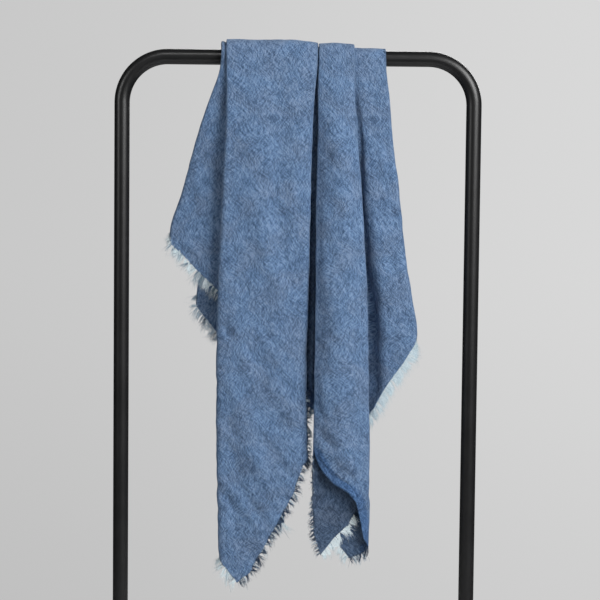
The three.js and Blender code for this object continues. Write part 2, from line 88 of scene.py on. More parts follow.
STRETCHES = {
    "left_fold": dict(
        behindLeft=0.7, behindRight=0.25, rise=None, ripple=(1.6, 1.6, 520), step=None,
        sections=[
            (-895, -121, 22, 35, 34, 2, 5, 6),
            (-670, -127, 22, 42, 36, 4, 7, 8.5),
            (-560, -128, 18, 46, 37, 4.5, 8, 9.5),
            (-400, -127, 19.5, 46, 38, 4, 8, 9.5),
            (-250, -121, 21.5, 42, 38, 3.5, 6, 8.5),
            (-120, -116, 25, 35, 33, 2, 3.6, 4.2),
            (-50, -116, 30, 30, 26, 0.5, 1.8, 2),
            (0, -117, 31, 29.5, 24.5, 0, 1.5, 1.5),
            (50, -116, 30, 29.5, 25, 0.5, 1.6, 1.6),
            (200, -120, 27, 37, 36, 4, 3.5, 5.5),
            (400, -125, 20, 40, 39, 6, 4, 7.5),
            (640, -123, 17, 37, 36, 4, 4, 7),
        ],
        front=[
            (-1, 762), (-0.35, 806), (-0.23, 813), (0, 830), (0.18, 860), (0.34, 843), (0.46, 813),
            (0.57, 787), (0.72, 750), (0.88, 712), (1, 664), (1.23, 650), (1.35, 640), (2, 585),
        ],
        back=[(-1, 600), (-0.35, 556), (0, 545), (0.5, 512), (1, 476), (1.35, 466), (2, 445)],
    ),
    "middle_fold": dict(
        behindLeft=0.82, behindRight=0.55, rise=None, ripple=(1.2, 1.2, 430), step=(20, 3.5),
        sections=[
            (-860, 27, 123, 42, 38, 3, 5, 8),
            (-760, 27, 123, 48, 42, 5, 6, 9),
            (-665, 28, 122, 54, 47, 7, 6.5, 10),
            (-600, 28, 120, 56, 48, 9, 6.5, 10),
            (-440, 29, 116, 54, 48, 10, 6.5, 10),
            (-270, 28.5, 106, 42, 40, 8, 7.5, 9.5),
            (-185, 29.5, 102, 34.5, 34, 6, 6.5, 8.2),
            (-120, 30.5, 97, 29, 28.5, 3.5, 4.8, 6),
            (-60, 33, 92, 24.5, 24.5, 1, 1.5, 2.6),
            (-35, 33.5, 90.5, 23, 23, 0.4, 1.05, 2.1),
            (35, 33.5, 90.5, 23, 23, 0.4, 1.05, 2.1),
            (60, 33, 92, 24, 24, 1, 1.2, 2.4),
            (150, 34, 97, 27, 27, 3, 2, 4),
            (300, 36, 104, 32, 32, 5, 4, 6.6),
            (640, 36, 111, 31, 31, 4, 4, 6.6),
        ],
        front=[
            (-1, 724), (-0.82, 764), (-0.64, 784), (-0.45, 814), (-0.35, 776), (-0.23, 716), (-0.12, 632),
            (0, 650), (0.16, 673), (0.39, 692), (0.68, 706), (0.83, 722), (0.92, 750), (1, 784),
            (1.12, 797), (1.35, 811), (1.45, 815), (1.64, 820), (1.82, 802), (2, 776),
        ],
        back=[(-1, 452), (-0.35, 492), (0, 502), (1, 560), (1.35, 568), (2, 600)],
    ),
    "left_flap": dict(
        behindLeft=0.24, behindRight=0, rise=(0.3, 0.8, 1.0), ripple=(1.2, 2.2, 600), step=None,
        crown_at=(0.36, 0.68),
        sections=[
            (-640, -215, 30, 9, 12, 15, 3, 3),
            (-325, -208, 30, 9, 12, 15, 4, 3),
            (-255, -188, 30, 9, 12, 15, 4.5, 3),
            (-205, -175, 30, 11, 12, 13, 4, 3),
            (-150, -159, 31, 16, 12.5, 8, 3.4, 3),
            (-100, -142, 32, 20, 14, 3.5, 2.6, 2),
            (-62, -128, 33, 21.6, 16, 1, 1.8, 2),
            (-35, -123, 33, 22.6, 18, 0, 1.4, 2),
            (0, -124, 33, 23.4, 18, 0, 1.4, 2),
            (35, -122, 34, 21, 18, 0, 1.4, 2),
            (150, -134, 45, 20, 14, 0, 2.6, 2),
            (300, -153, 50, 20, 13, 0, 3.6, 2),
            (430, -168, 50, 20, 12.5, 0, 4, 2),
            (640, -172, 50, 18, 12.5, 0, 4, 2),
        ],
        front=[
            (-1, 222), (-0.35, 278), (-0.23, 284), (0, 302), (0.07, 319), (0.17, 343), (0.325, 379),
            (0.62, 450), (0.87, 515), (1, 547),
        ],
        back=[(-1, 332), (-0.35, 388), (-0.23, 394), (0, 408), (0.17, 453), (0.84, 569), (1, 592)],
    ),
    "right_flap": dict(
        behindLeft=0, behindRight=0.35, rise=(0.33, 0.66, 2.4), ripple=(1, 1.4, 480), step=None,
        sections=[
            (-680, 80, 180, 12, 24, 0, 3, 4),
            (-500, 80, 195, 12, 43, 0, 3, 6),
            (-478, 80, 198, 12, 41, 0, 3, 6),
            (-420, 78, 188, 12, 33, 0, 3, 6.5),
            (-355, 75, 178, 12, 28, 0, 3, 7),
            (-290, 72, 170, 12, 25, 0, 3, 6.5),
            (-230, 68, 163, 12, 24, 0, 3, 6),
            (-165, 64, 154, 12, 22.5, 0, 3, 5),
            (-100, 58, 148, 12.8, 20, 0, 2, 3),
            (-60, 52, 143, 15, 18, 0, 2, 1.7),
            (-35, 48, 142, 16.7, 16.7, 0, 2, 1.2),
            (35, 46, 141, 16.7, 16.7, 0, 2, 1.2),
            (60, 47, 142, 15.4, 16.9, 0, 2, 1.4),
            (150, 50, 147, 12.8, 16.5, 0, 2, 2.4),
            (300, 55, 155, 12.6, 16.5, 0, 2, 3.4),
            (640, 62, 163, 12.6, 16.5, 0, 2, 3.6),
        ],
        front=[
            (0, 650), (0.41, 582), (0.51, 561), (0.7, 526), (0.89, 495), (1, 472), (1.23, 450), (1.35, 440),
            (2, 398),
        ],
        back=[(0, 524), (0.5, 474), (1, 432), (1.35, 420), (2, 398)],
    ),
    "inner_layer": dict(
        behindLeft=0, behindRight=0, rise=None, ripple=(0.5, 2, 700), step=None,
        sections=[
            (-560, -92, 92, 7.6, 7.6, 0, 2, 2),
            (-160, -104, 93, 8, 8, 0, 2, 2),
            (-100, -115, 94, 9.6, 9.6, 0, 2, 2),
            (-60, -117, 96, 12.4, 12.4, 0, 2, 2),
            (-35, -118, 96, 14, 14, 0, 2, 2),
            (35, -118, 96, 14, 14, 0, 2, 2),
            (60, -116, 96, 12.4, 12.4, 0, 2, 2),
            (100, -112, 94, 9.6, 9.6, 0, 2, 2),
            (160, -100, 93, 8, 8, 0, 2, 2),
            (560, -84, 90, 7.6, 7.6, 0, 2, 2),
        ],
        front=[(0, 350), (1, 505)],
        back=[(0, 300), (1, 390)],
    ),
}

# ---------------------------------------------------------------- the creases
# From one point of the cloth to another, as (across, hang), with the half width and the height, both in mm
# and the height before CREASE_GAIN. A height below zero is a trough. The hang is the distance along the
# cloth from the top of the rail, below zero down the front and above zero down the back.
CREASES = {
    "left_fold": [
        (0.52, -60, 0.69, -165, 11, -1.6),
        (0.69, -150, 0.6, -245, 12, -1.8),
        (0.6, -240, 0.76, -380, 11, -1.7),
        (0.86, -70, 0.88, -330, 8, 1.2),
        (0.3, -80, 0.24, -300, 20, 1.2),
        (0.4, -300, 0.76, -440, 10, 1.4),
        (0.56, -250, 0.62, -300, 7, -1.1),
        (0.1, -360, 0.42, -470, 9, -0.9),
        (0.03, -470, 0.5, -640, 9, -1.1),
        (0.3, -500, 0.84, -650, 8, -1.0),
        (0.06, -560, 0.6, -760, 8, 0.9),
        (0.02, -640, 0.5, -810, 8, -1.3),
        (0.02, -740, 0.34, -860, 8, -1.5),
        (0.4, -680, 0.72, -770, 10, 1.3),
        (0.55, -600, 0.92, -700, 7, -0.8),
        (0.3, 90, 0.36, 330, 12, -1.6),
        (0.72, 80, 0.6, 300, 11, -1.4),
        (0.12, 260, 0.46, 420, 9, -1.2),
        (0.5, 300, 0.86, 440, 9, 1.1),
        (0.1, 420, 0.44, 540, 8, -1.2),
    ],
    "middle_fold": [
        (0.22, -120, 0.16, -300, 9, -1.1),
        (0.2, -310, 0.34, -400, 8, -1.3),
        (0.72, -110, 0.8, -380, 12, 1.1),
        (0.12, -430, 0.4, -520, 8, -1.2),
        (0.3, -400, 0.66, -500, 9, 0.9),
        (0.14, -500, 0.42, -610, 8, -1.4),
        (-0.04, -590, 0.34, -672, 7, -1.7),
        (0.02, -560, 0.5, -660, 6, 1.0),
        (0.44, -520, 0.82, -640, 8, -0.9),
        (0.36, -600, 0.9, -720, 7, 1.0),
        (0.3, 80, 0.4, 300, 10, -1.4),
        (0.7, 140, 0.56, 420, 10, -1.2),
        (0.3, 360, 0.8, 500, 8, 1.0),
    ],
    "left_flap": [
        (0.06, -130, 0.03, -280, 8, 1.2),
        (0.1, -150, 0.28, -260, 8, -1.4),
        (0.04, -230, 0.3, -330, 7, 0.9),
        (0.2, -280, 0.4, -390, 7, -1.2),
        (0.16, 120, 0.1, 330, 10, 1.2),
        (0.24, 220, 0.4, 420, 9, -1.4),
    ],
    "right_flap": [
        (0.455, -62, 0.385, -240, 6, -4.4),
        (0.4, -210, 0.37, -380, 6, -3.0),
        (0.37, -330, 0.37, -500, 8, -3.8),
        (0.39, -390, 0.45, -620, 13, -6.6),
        (0.8, -120, 0.84, -330, 7, 1.4),
        (0.92, -160, 0.9, -300, 5, -0.8),
        (0.74, -330, 0.94, -430, 8, -0.9),
        (0.7, -420, 0.9, -480, 7, 0.9),
        (0.66, -470, 0.8, -540, 7, -1.0),
        (0.4, 90, 0.5, 300, 9, -1.2),
        (0.7, 160, 0.8, 380, 9, 1.1),
    ],
    "inner_layer": [
        (0.3, -80, 0.36, -300, 10, -0.5),
        (0.7, 80, 0.64, 280, 10, -0.5),
    ],
}


# ---------------------------------------------------------------- numbers from tables and noise
def smoothstep(x, low, high):
    t = np.clip((x - low) / (high - low), 0.0, 1.0)
    return t * t * (3 - 2 * t)


def column_of(rows, name, at):
    """A column of the sections at these hangs, by a cubic through its neighbours, as the solids have it."""
    table = np.array(rows, float)
    keys = table[:, 0]
    values = table[:, SECTION_COLUMNS.index(name)]
    slopes = np.empty(len(keys))
    for k in range(len(keys)):
        before, after = max(k - 1, 0), min(k + 1, len(keys) - 1)
        slopes[k] = (values[after] - values[before]) / (keys[after] - keys[before])
    at = np.clip(at, keys[0], keys[-1])
    i = np.clip(np.searchsorted(keys, at, side="right") - 1, 0, len(keys) - 2)
    width = keys[i + 1] - keys[i]
    t = (at - keys[i]) / width
    return (
        (2 * t**3 - 3 * t**2 + 1) * values[i]
        + (t**3 - 2 * t**2 + t) * width * slopes[i]
        + (3 * t**2 - 2 * t**3) * values[i + 1]
        + (t**3 - t**2) * width * slopes[i + 1]
    )


def hem_drop(rows, across):
    """How far below the rail a hem lies."""
    table = np.array(rows, float)
    return np.interp(across, table[:, 0], table[:, 1])


def lattice_noise(x, y, seed):
    """Smooth noise from -1 to 1, one bump for each unit."""
    cells = np.random.RandomState(seed).uniform(-1, 1, (NOISE_CELLS, NOISE_CELLS))
    ix, iy = np.floor(x).astype(int), np.floor(y).astype(int)
    fx, fy = x - ix, y - iy
    fx, fy = fx**3 * (fx * (fx * 6 - 15) + 10), fy**3 * (fy * (fy * 6 - 15) + 10)
    corner = lambda dx, dy: cells[(ix + dx) % NOISE_CELLS, (iy + dy) % NOISE_CELLS]
    low = corner(0, 0) * (1 - fx) + corner(1, 0) * fx
    high = corner(0, 1) * (1 - fx) + corner(1, 1) * fx
    return low * (1 - fy) + high * fy


def run_length(points):
    """The distance along a line of points, at each of them."""
    return np.concatenate([[0], np.cumsum(np.linalg.norm(np.diff(points, axis=0), axis=1))])


def slanted_noise(u, v, angle, wide, long, seed):
    """Noise drawn out along a direction, given in degrees from the way across the cloth."""
    c, s = math.cos(math.radians(angle)), math.sin(math.radians(angle))
    return lattice_noise((u * c + v * s) / long + 31.7, (v * c - u * s) / wide + 17.3, seed)


# ---------------------------------------------------------------- the cloth's surface
def section_point(stretch, across, hang):
    """How far to the right and how far out from the rail's axis the cloth lies."""
    row = lambda name: column_of(stretch["sections"], name, hang)
    left, right = row("left"), row("right")
    out_left, out_right = row("outLeft"), row("outRight")

    def face_out(x):
        share = (x - left) / (right - left)
        if stretch["rise"]:
            start, end, power = stretch["rise"]
            share = 1 - (1 - np.clip((share - start) / (end - start), 0, 1)) ** power
        return out_left + (out_right - out_left) * share

    turn_left = row("turnLeft") * (1 if stretch["behindLeft"] else 0)
    turn_right = row("turnRight") * (1 if stretch["behindRight"] else 0)
    past_left, past_right = np.maximum(-across, 0), np.maximum(across - 1, 0)
    angle_left = math.pi * np.minimum(past_left / TURN, 1)
    angle_right = math.pi * np.minimum(past_right / TURN, 1)
    run_left = np.maximum(0, (past_left - TURN) / (1 - TURN)) * stretch["behindLeft"] * (right - left)
    run_right = np.maximum(0, (past_right - TURN) / (1 - TURN)) * stretch["behindRight"] * (right - left)
    on_face = np.clip(across, 0, 1)
    x = (left + turn_left) * (1 - on_face) + (right - turn_right) * on_face
    x = x - turn_left * np.sin(angle_left) + run_left + turn_right * np.sin(angle_right) - run_right
    bell = 4 * on_face * (1 - on_face)
    depth, waves, slant = stretch["ripple"]
    clear = np.minimum(1, np.abs(hang) / 200)
    wave = np.sin(2 * math.pi * (waves * across + hang / slant))
    crown = bell
    if "crown_at" in stretch:
        top, end = stretch["crown_at"]
        crown = np.minimum(on_face / top, 1 - smoothstep(on_face, top, end))
    out = face_out(x) + row("crown") * crown + bell * clear * depth * wave
    out = out - turn_left * (1 - np.cos(angle_left)) - turn_right * (1 - np.cos(angle_right))
    return x, out


def step_back(stretch, across, hang):
    """How far the cloth steps in along its turned front hem."""
    if not stretch["step"]:
        return np.zeros_like(hang)
    drop, inwards = stretch["step"]
    above = hem_drop(stretch["front"], across) + hang + RAIL_ARC
    ends = smoothstep(across, 0.0, 0.06) * (1 - smoothstep(across, 0.92, 0.97))
    return 0.5 * inwards * (1 - smoothstep(above, drop - 5, drop + 1)) * ends * (hang < 0)


def smooth_cloth(stretch, across, hang):
    """The cloth's middle surface in mm, before its creases."""
    x, out = section_point(stretch, across, hang)
    out = out - step_back(stretch, across, hang)
    angle = np.clip(hang / RAIL_ARC, -1, 1) * (math.pi / 2)
    below = np.maximum(0, np.abs(hang) - RAIL_ARC)
    return np.stack([x, out * np.sin(angle), RAIL_Z + out * np.cos(angle) - below], -1)


def unit(vectors):
    return vectors / np.maximum(np.linalg.norm(vectors, axis=-1, keepdims=True), 1e-9)


def cloth_normal(stretch, across, hang):
    """The way that the cloth's face looks."""
    lowest = -1 if stretch["behindLeft"] else 0
    highest = 2 if stretch["behindRight"] else 1
    a, b = np.maximum(across - 0.004, lowest), np.minimum(across + 0.004, highest)
    sideways = smooth_cloth(stretch, b, hang) - smooth_cloth(stretch, a, hang)
    along = smooth_cloth(stretch, across, hang + 0.6) - smooth_cloth(stretch, across, hang - 0.6)
    return unit(np.cross(sideways, along))


def relief(name, across, hang, u):
    """How far the creases lift the cloth, in mm. u is the distance across, along the cloth."""
    free = smoothstep(np.abs(hang), 30, 230)
    lower = smoothstep(np.abs(hang), 200, 760)
    crinkles = [  # height, angle, width and length
        (free * 0.8, 78, 26, 150),
        (free * (0.8 + 1.3 * lower), -52, 13, 70),
        (0.3 + 0.44 * free, 48, 10, 46),
        (0.24 + 0.28 * free, -50, 8, 26),
        (0.3 * free, 84, 7, 30),
    ]
    seed = 10 * list(STRETCHES).index(name)
    lift = np.zeros_like(hang)
    for k, (height, angle, wide, long) in enumerate(crinkles, 1):
        lift += height * slanted_noise(u, hang, angle, wide, long, seed + k)
    for a0, h0, a1, h1, half_width, height in CREASES[name]:
        start = np.array([np.interp(a0, across[:, 0], u[:, 0]), h0])
        way = np.array([np.interp(a1, across[:, 0], u[:, 0]), h1]) - start
        length = np.hypot(*way)
        du, dh = u - start[0], hang - start[1]
        along = (du * way[0] + dh * way[1]) / length**2
        aside = (du * way[1] - dh * way[0]) / length
        aside = aside + min(0.035 * length, 3) * np.sin(2.6 * math.pi * along + a0 * 20)
        ends = smoothstep(along, -0.12, 0.22) * (1 - smoothstep(along, 0.72, 1.12))
        lift += CREASE_GAIN * height * ends * np.exp(-((aside / half_width) ** 2)) * free
    edge = np.minimum(np.abs(u - u.min()), np.abs(u.max() - u)) / max(u.max() - u.min(), 1)
    turning = np.clip(np.minimum(np.abs(across), np.abs(across - 1)) / 0.1, 0, 1)
    turning = np.where((across < 0) & (across > -TURN) | (across > 1) & (across < 1 + TURN), 0.0, turning)
    lift = lift * (0.5 + 0.5 * turning)
    return (lift + shaping(name, across, hang, u)) * smoothstep(edge, -0.01, 0.02)


def shaping(name, across, hang, u):
    """What the folds' edges and the turn over the rail have beside the solids' own form, in mm."""
    down, front = np.abs(hang), hang < 0
    at = lambda value: np.interp(value, across[:, 0], u[:, 0])
    between = lambda x, low, full, still, high: smoothstep(x, low, full) * (1 - smoothstep(x, still, high))
    bump = lambda centre, half_width: np.exp(-(((u - centre) / half_width) ** 2))
    over = 1 - smoothstep(down, 20, 110)
    if name == "left_fold":
        # Its right edge is crisper than a fold of one radius, and it lies loose on the rail.
        crisp = 2.0 * between(down, 200, 330, 430, 520) * bump(at(1) + 7, 6) * front
        return crisp + 3.0 * over * bump(at(0.7), 34) - 0.8 * over * (bump(at(1), 9) + bump(0, 8))
    if name == "middle_fold":
        # Both its edges lie further in than the solids', the right one only near the rail.
        left = 3.2 * smoothstep(down, 60, 150) * between(u, -36, -22, -8, 15)
        right = 3.6 * between(down, 50, 110, 170, 300) * between(at(1) - u, -36, -22, -6, 12)
        face = np.clip(across, 0, 1)
        rounder = 4.5 * smoothstep(down, 90, 200) * 4 * face * (1 - face)
        return (rounder - left - right) * front + 1.6 * over * bump(at(0.42), 22)
    if name == "left_flap":
        # It is rolled over the rail, sinks beside the broad fold, and its back corner curls forwards.
        share = np.clip(0.13 + (down - 100) / 1050, 0.13, 0.36)
        beside = np.interp(share, across[:, 0], u[:, 0])
        sunk = 5.5 * smoothstep(down, 70, 160) * bump(beside, 24) * front
        curled = 14 * smoothstep(down, 330, 480) * (1 - smoothstep(u, 40, 100)) * (hang > 0)
        return 2.6 * (1 - smoothstep(down, 26, 80)) * bump(-3, 6) - sunk - curled
    if name == "right_flap":
        return -1.0 * over * bump(at(1), 12)
    return np.zeros_like(hang)


def near_hem(stretch, across, hang, u):
    """1 on the turned edge along the front hem of the face, where light shining through the cloth is painted,
    and 0 on the rest of the cloth.
    """
    line = np.linspace(-0.04, 1.3, 260)
    hem_u = np.interp(line, across[:, 0], u[:, 0])
    hem_hang = -RAIL_ARC - hem_drop(stretch["front"], line)
    away = np.full(hang.shape, 1e3)
    for point_u, point_hang in zip(hem_u, hem_hang):
        away = np.minimum(away, np.hypot(u - point_u, hang - point_hang))
    return (1 - smoothstep(away, BACKLIT_HEM_WIDTH - 1.5, BACKLIT_HEM_WIDTH)) * (across > -0.17) * (across < 1.4)


def even_columns(stretch):
    """Values of "across", SPACING apart on the cloth at MID_HANG, with one at each corner of the hem."""
    lowest = -1 if stretch["behindLeft"] else 0
    highest = 2 if stretch["behindRight"] else 1
    fine = np.linspace(lowest, highest, 1500)
    length = run_length(smooth_cloth(stretch, fine, np.full_like(fine, MID_HANG)))
    wanted = np.linspace(0, length[-1], max(int(length[-1] / SPACING), 12))
    columns = np.interp(wanted, length, fine)
    for corner in [row[0] for row in stretch["front"] if lowest < row[0] < highest]:
        columns[np.argmin(np.abs(columns - corner))] = corner
    return np.sort(columns)


def rows_down(stretch, side, columns):
    """The hang of each row of one side, from the rail to the hem. Rows are level at the rail, and the lower
    they are the more they follow the hem."""
    hems = RAIL_ARC + hem_drop(stretch[side], columns)
    longest = hems.max()
    cut = stretch["step"][0] + 4 if stretch["step"] and side == "front" else 0
    count = int((longest - RAIL_ARC - cut) / SPACING)
    t = np.linspace(0, 1, count + 1)[1:]
    level = RAIL_ARC + (longest - cut - RAIL_ARC) * t
    rows = level[None, :] + (hems - longest)[:, None] * (t**2.6)[None, :]
    if cut:
        # Rows close together where the cloth steps back, at these distances above the hem.
        drop = stretch["step"][0]
        steps = [drop + off for off in (2, 1, 0.3, -0.5, -1.5, -3)]
        near = np.array([*steps, *np.arange(drop - 6, -0.1, -3)])
        near[-1] = 0
        rows = np.concatenate([rows, hems[:, None] - near[None, :]], axis=1)
    return rows


def cloth_grid(stretch):
    """The points of a stretch's mesh, as "across" and hang."""
    columns = even_columns(stretch)
    over = np.linspace(-RAIL_ARC, RAIL_ARC, RAIL_ROWS)
    front = -rows_down(stretch, "front", columns)[:, ::-1]
    back = rows_down(stretch, "back", columns)
    hang = np.concatenate([front, np.repeat(over[None, :], len(columns), 0), back], axis=1)
    across = np.repeat(columns[:, None], hang.shape[1], 1)
    return across, hang


def cloth_across(stretch, columns):
    """The distance along the cloth from its face's left edge to each column, in mm."""
    length = run_length(smooth_cloth(stretch, columns, np.full_like(columns, MID_HANG)))
    return length - np.interp(0, columns, length)


def creased_cloth(name, across, hang):
    """The cloth's middle surface with its creases, and the distance across along it, both in mm."""
    stretch = STRETCHES[name]
    u = np.repeat(cloth_across(stretch, across[:, 0])[:, None], hang.shape[1], 1)
    surface = smooth_cloth(stretch, across, hang)
    surface = surface + cloth_normal(stretch, across, hang) * relief(name, across, hang, u)[..., None]
    return surface, u


# ---------------------------------------------------------------- meshes
def ring_quads(*shape):
    """Quads between rings of points. The last axis goes round a ring, the one before it to the next."""
    index = np.arange(math.prod(shape)).reshape(shape)
    after = np.roll(index, -1, axis=-1)
    corners = (index[..., :-1, :], after[..., :-1, :], after[..., 1:, :], index[..., 1:, :])
    return np.stack(corners, -1).reshape(-1, 4)


def new_mesh_object(name, vertices, faces):
    """A smooth mesh of faces that all have the same number of corners."""
    mesh = bpy.data.meshes.new(name)
    mesh.vertices.add(len(vertices))
    mesh.vertices.foreach_set("co", np.ascontiguousarray(vertices, np.float32).ravel())
    faces = np.asarray(faces, np.int32)
    size = faces.shape[1]
    mesh.loops.add(faces.size)
    mesh.loops.foreach_set("vertex_index", faces.ravel())
    mesh.polygons.add(len(faces))
    mesh.polygons.foreach_set("loop_start", np.arange(0, faces.size, size, dtype=np.int32))
    mesh.polygons.foreach_set("use_smooth", np.full(len(faces), True))
    mesh.update(calc_edges=True)
    mesh.validate()
    obj = bpy.data.objects.new(name, mesh)
    bpy.context.scene.collection.objects.link(obj)
    return obj


def cloth_piece(name, materials):
    """One stretch of the cloth as a closed shell, the face of the cloth outside and its reverse inside. The
    reverse is darker, partly as painted shade.
    """
    stretch = STRETCHES[name]
    across, hang = cloth_grid(stretch)
    middle, u = creased_cloth(name, across, hang)
    sideways = np.gradient(middle, axis=0)
    along = np.gradient(middle, axis=1)
    normal = unit(np.cross(sideways, along))
    columns, rows = hang.shape
    index = np.arange(columns * rows).reshape(columns, rows)
    a, b, c, d = index[:-1, :-1], index[1:, :-1], index[1:, 1:], index[:-1, 1:]
    outer = np.stack([a, b, c, d], -1).reshape(-1, 4)
    inner = outer[:, ::-1] + columns * rows
    rim_line = np.concatenate([index[:, 0], index[-1, 1:], index[-2::-1, -1], index[0, -2:0:-1]])
    after = np.roll(rim_line, -1)
    rim = np.stack([after, rim_line, rim_line + columns * rows, after + columns * rows], -1)
    vertices = np.concatenate([
        (middle + normal * WALL / 2).reshape(-1, 3),
        (middle - normal * WALL / 2).reshape(-1, 3),
    ])
    faces = np.concatenate([outer, inner, rim])
    obj = new_mesh_object("cloth_" + name, vertices * MM, faces)
    mesh = obj.data
    for material in materials:
        mesh.materials.append(material)
    kinds = np.repeat([0, 1, 0], [len(outer), len(inner), len(rim)]).astype(np.int32)
    mesh.polygons.foreach_set("material_index", kinds)
    # The cloth's own coordinates, in metres along it.
    flat = np.stack([u.reshape(-1), hang.reshape(-1)], -1) * MM
    flat = np.concatenate([flat, flat])
    loops = np.empty(len(mesh.loops), np.int32)
    mesh.loops.foreach_get("vertex_index", loops)
    layer = mesh.uv_layers.new(name="cloth")
    layer.data.foreach_set("uv", flat[loops].astype(np.float32).ravel())
    # Painted light: this marks the turned hem, where light shining through the cloth is painted in.
    turned = mesh.attributes.new("turned_edge_backlight", "FLOAT", "POINT")
    backlight_share = near_hem(stretch, across, hang, u) if stretch["step"] else np.zeros_like(hang)
    turned.data.foreach_set("value", np.concatenate([backlight_share.ravel()] * 2).astype(np.float32))
    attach(obj, "root")
    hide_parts(name)
    return obj


# ---------------------------------------------------------------- the frayed edges
# name, stretch, side, from and to (in "across"), length in mm, kind of yarn, mm between yarns, mm between
# locks, and how far the yarns of a lock gather towards its middle
FRINGES = [
    ("left_fold_tip_fringe", "left_fold", "front", -1, 0.17, 18, "pale", 0.22, 4.5, 0.25),
    ("left_fold_hem_fringe", "left_fold", "front", 0.19, 1.34, 15, "dark", 0.4, 4.2, 0.85),
    ("left_fold_inside_fringe", "left_fold", "front", 1.36, 2, 14, "dark", 0.6, 4.5, 0.8),
    ("left_fold_back_fringe", "left_fold", "back", -1, 2, 17, "pale", 0.6, 6, 0.3),
    ("middle_inner_dark_fringe", "middle_fold", "front", -0.14, -0.44, 13, "dark", 0.42, 4.4, 0.85),
    ("middle_inner_pale_fringe", "middle_fold", "front", -0.46, -0.9, 15, "pale", 0.22, 4.5, 0.25),
    ("middle_outer_dark_fringe", "middle_fold", "front", 1.14, 1.62, 13, "dark", 0.4, 4.2, 0.8),
    ("middle_outer_pale_fringe", "middle_fold", "front", 1.66, 2, 15, "pale", 0.22, 4.5, 0.25),
    ("middle_fold_back_fringe", "middle_fold", "back", -1, 2, 15, "dark", 0.6, 6, 0.6),
    ("left_flap_fringe", "left_flap", "front", -0.31, 0.46, 19, "knotted", 0.2, 3.4, 0.35),
    ("left_flap_back_fringe", "left_flap", "back", -0.35, 1, 18, "mixed", 0.26, 4, 0.45),
    ("right_flap_fringe", "right_flap", "front", 0.3, 1.35, 22, "haze", 0.15, 7, 0.06),
    ("right_flap_back_fringe", "right_flap", "back", 0, 1.35, 15, "dark", 0.6, 6, 0.6),
]

# Threads of an inner hem that come out past a fold's edge. In place of the side stands the "across" of that
# edge, and from and to are hangs.
LOOSE_THREADS = [
    ("left_fold_loose_threads", "left_fold", 1.12, -575, -695, 14, "dark", 0.42, 6, 0.9),
]

# How readily a yarn is the other one than its edge's, from 0 for never to 1 for always. At 0.13 it is one yarn
# in 28, at 0.32 one in 5, at 0.4 one in 3 and at 0.74 six in 7.
ODD_LEVEL = {"haze": 0.0, "pale": 0.13, "knotted": 0.4, "mixed": 0.74, "dark": 0.32}
PALE_KINDS = ("haze", "pale", "knotted")


def hem_line(stretch_name, side, start, end):
    """Fine points along a hem, with the way out of the cloth and the way that it faces."""
    stretch = STRETCHES[stretch_name]
    across = np.linspace(start, end, LINE_POINTS)
    drop = hem_drop(stretch[side], across)
    hang = -RAIL_ARC - drop if side == "front" else RAIL_ARC + drop
    order = np.argsort(across)
    grid_across, grid_hang = across[order][:, None], hang[order][:, None]
    point = creased_cloth(stretch_name, grid_across, grid_hang)[0][:, 0]
    normal = cloth_normal(stretch, grid_across, grid_hang)[:, 0]
    spread = 14  # points, so that small creases don't turn the yarns
    ahead = np.minimum(np.arange(LINE_POINTS) + spread, LINE_POINTS - 1)
    behind = np.maximum(np.arange(LINE_POINTS) - spread, 0)
    tangent = unit(point[ahead] - point[behind])
    out = unit(np.cross(tangent, normal))
    out[out[:, 2] > 0] *= -1
    return run_length(point), point, tangent, out, normal


def edge_line(stretch_name, across, start, end):
    """As hem_line, but down a fold's edge from one hang to another, and out straight off the fold."""
    stretch = STRETCHES[stretch_name]
    hang = np.linspace(start, end, LINE_POINTS)[:, None]
    at = np.full_like(hang, across)
    point = smooth_cloth(stretch, at, hang)[:, 0]
    normal = cloth_normal(stretch, at, hang)[:, 0]
    tangent = unit(np.gradient(point, axis=0))
    return run_length(point), point, tangent, normal, unit(np.cross(normal, tangent))


def tubes(paths, radii):
    """Thin tapered tubes along paths, of shape (count, steps, 3)."""
    ahead = unit(np.gradient(paths, axis=1))
    any_way = np.array([0.31, 0.87, 0.38])
    first = unit(np.cross(ahead, any_way))
    second = np.cross(ahead, first)
    turn = 2 * math.pi * np.arange(YARN_SIDES) / YARN_SIDES
    ring = (
        first[:, :, None, :] * np.cos(turn)[None, None, :, None]
        + second[:, :, None, :] * np.sin(turn)[None, None, :, None]
    )
    vertices = paths[:, :, None, :] + ring * radii[:, :, None, None]
    return vertices.reshape(-1, 3), ring_quads(*paths.shape[:2], YARN_SIDES)


